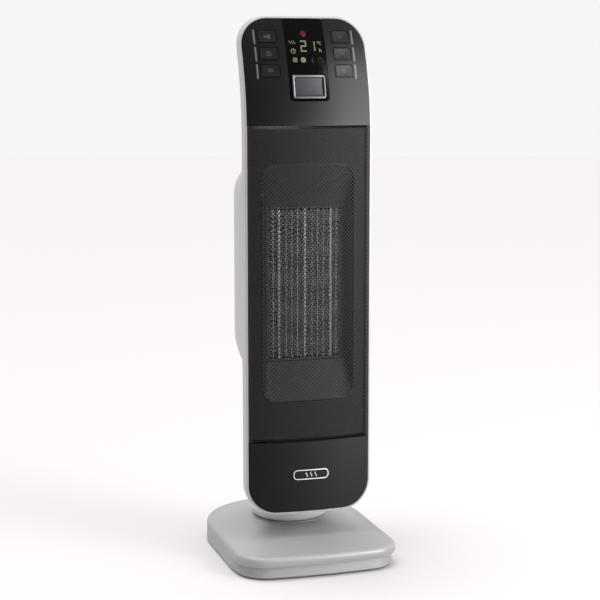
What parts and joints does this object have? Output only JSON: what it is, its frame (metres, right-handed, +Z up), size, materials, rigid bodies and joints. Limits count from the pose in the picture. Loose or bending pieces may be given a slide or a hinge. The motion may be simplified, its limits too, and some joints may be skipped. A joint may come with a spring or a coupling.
{
  "type": "ceramic space heater",
  "caption": "Tower ceramic fan heater with a perforated front grille, leaning touch control panel and oscillating base.",
  "frame": {"origin": "on the floor under the middle of the base", "axes": "+Z up, -Y out of the front grille, +X to the right as seen from the front"},
  "size_m": [0.2, 0.269, 0.656],
  "materials": {
    "white_plastic": "light satin",
    "black_plastic": "charcoal satin",
    "gloss_black": "polished",
    "key_plastic": "satin",
    "rubber": "matt",
    "heat_plastic": "matt heat-resistant",
    "aluminium": "mill finish",
    "steel": "plated",
    "copper": "enamelled copper winding",
    "nylon": "natural nylon",
    "circuit_board": "soldermask",
    "filter_mesh": "woven mesh"
  },
  "bodies": {
    "base": {"base_cover": "white_plastic", "base_tray": "white_plastic", "foot_front_left": "rubber", "foot_front_right": "rubber", "foot_rear_left": "rubber", "foot_rear_right": "rubber", "cord_gland": "rubber", "thrust_ring": "nylon", "pivot_post": "nylon", "fixed_gear": "nylon", "tilt_bracket": "nylon"},
    "tilt_pendulum": {"tilt_weight": "steel"},
    "tower": {"neck": "white_plastic", "pivot_retainer": "steel", "oscillation_motor": "steel", "front_frame": "white_plastic", "rear_shell": "white_plastic", "handle_cup": "black_plastic", "rear_screw_1": "steel", "rear_screw_2": "steel", "rear_screw_3": "steel", "rear_screw_4": "steel", "control_panel": "black_plastic", "display_lens": "gloss_black", "lower_fascia": "black_plastic", "badge": "aluminium", "control_board": "circuit_board", "front_grille": "black_plastic", "outlet_duct": "heat_plastic", "outlet_baffle": "black_plastic", "element_frame": "heat_plastic", "heater_bar_1": "aluminium", "heater_bar_2": "aluminium", "heater_bar_3": "aluminium", "fin_pack_1": "aluminium", "fin_pack_2": "aluminium", "fin_pack_3": "aluminium", "fin_pack_4": "aluminium", "thermal_cutout": "steel", "fan_scroll": "heat_plastic", "fan_tongue": "heat_plastic", "fan_lower_plate": "heat_plastic", "fan_upper_plate": "heat_plastic", "fan_bush": "nylon", "motor_core": "steel", "motor_coil": "copper", "power_board": "circuit_board"},
    "pinion": {"drive_pinion": "nylon"},
    "fan_rotor": {"fan_impeller": "black_plastic", "fan_shaft": "steel", "motor_rotor": "steel"},
    "intake": {"intake_grille": "white_plastic", "dust_filter": "filter_mesh"},
    "power_button": {"power_key": "gloss_black"},
    "button_left_top": {"key_1": "key_plastic"},
    "button_left_middle": {"key_2": "key_plastic"},
    "button_left_bottom": {"key_3": "key_plastic"},
    "button_right_top": {"key_4": "key_plastic"},
    "button_right_middle": {"key_5": "key_plastic"},
    "button_right_bottom": {"key_6": "key_plastic"}
  },
  "joints": [
    {"name": "oscillation", "type": "hinge", "parent": "base", "child": "tower", "pos_m": [0, 0.0155, 0.039], "axis": [0, 0, 1], "range_deg": [-35, 35]},
    {"name": "pinion_spin", "type": "hinge", "parent": "tower", "child": "pinion", "pos_m": [0, 0.0395, 0.043], "axis": [0, 0, 1], "range_deg": [-108, 108]},
    {"name": "fan_spin", "type": "hinge", "parent": "tower", "child": "fan_rotor", "pos_m": [0, 0.0245, 0.34], "axis": [0, 0, 1], "continuous": true},
    {"name": "intake_pull", "type": "slide", "parent": "tower", "child": "intake", "axis": [0, 1, 0], "range_m": [0, 0.09]},
    {"name": "tilt_swing", "type": "hinge", "parent": "base", "child": "tilt_pendulum", "pos_m": [-0.046, -0.022, 0.0193], "axis": [1, 0, 0], "range_deg": [-20, 20]},
    {"name": "power_press", "type": "slide", "parent": "tower", "child": "power_button", "axis": [0, 0.9714, -0.2376], "range_m": [0, 0.001], "stiffness_N_per_m": 900, "springref_m": -0.0006},
    {"name": "press_left_top", "type": "slide", "parent": "tower", "child": "button_left_top", "axis": [0, 0.9025, -0.4307], "range_m": [0, 0.0008], "stiffness_N_per_m": 900, "springref_m": -0.0006},
    {"name": "press_left_middle", "type": "slide", "parent": "tower", "child": "button_left_middle", "axis": [0, 0.9294, -0.369], "range_m": [0, 0.0008], "stiffness_N_per_m": 900, "springref_m": -0.0006},
    {"name": "press_left_bottom", "type": "slide", "parent": "tower", "child": "button_left_bottom", "axis": [0, 0.9533, -0.302], "range_m": [0, 0.0008], "stiffness_N_per_m": 900, "springref_m": -0.0006},
    {"name": "press_right_top", "type": "slide", "parent": "tower", "child": "button_right_top", "axis": [0, 0.9025, -0.4307], "range_m": [0, 0.0008], "stiffness_N_per_m": 900, "springref_m": -0.0006},
    {"name": "press_right_middle", "type": "slide", "parent": "tower", "child": "button_right_middle", "axis": [0, 0.9294, -0.369], "range_m": [0, 0.0008], "stiffness_N_per_m": 900, "springref_m": -0.0006},
    {"name": "press_right_bottom", "type": "slide", "parent": "tower", "child": "button_right_bottom", "axis": [0, 0.9533, -0.302], "range_m": [0, 0.0008], "stiffness_N_per_m": 900, "springref_m": -0.0006}
  ],
  "couplings": [
    {"joint": "pinion_spin", "follows": "oscillation", "ratio": 3}
  ]
}
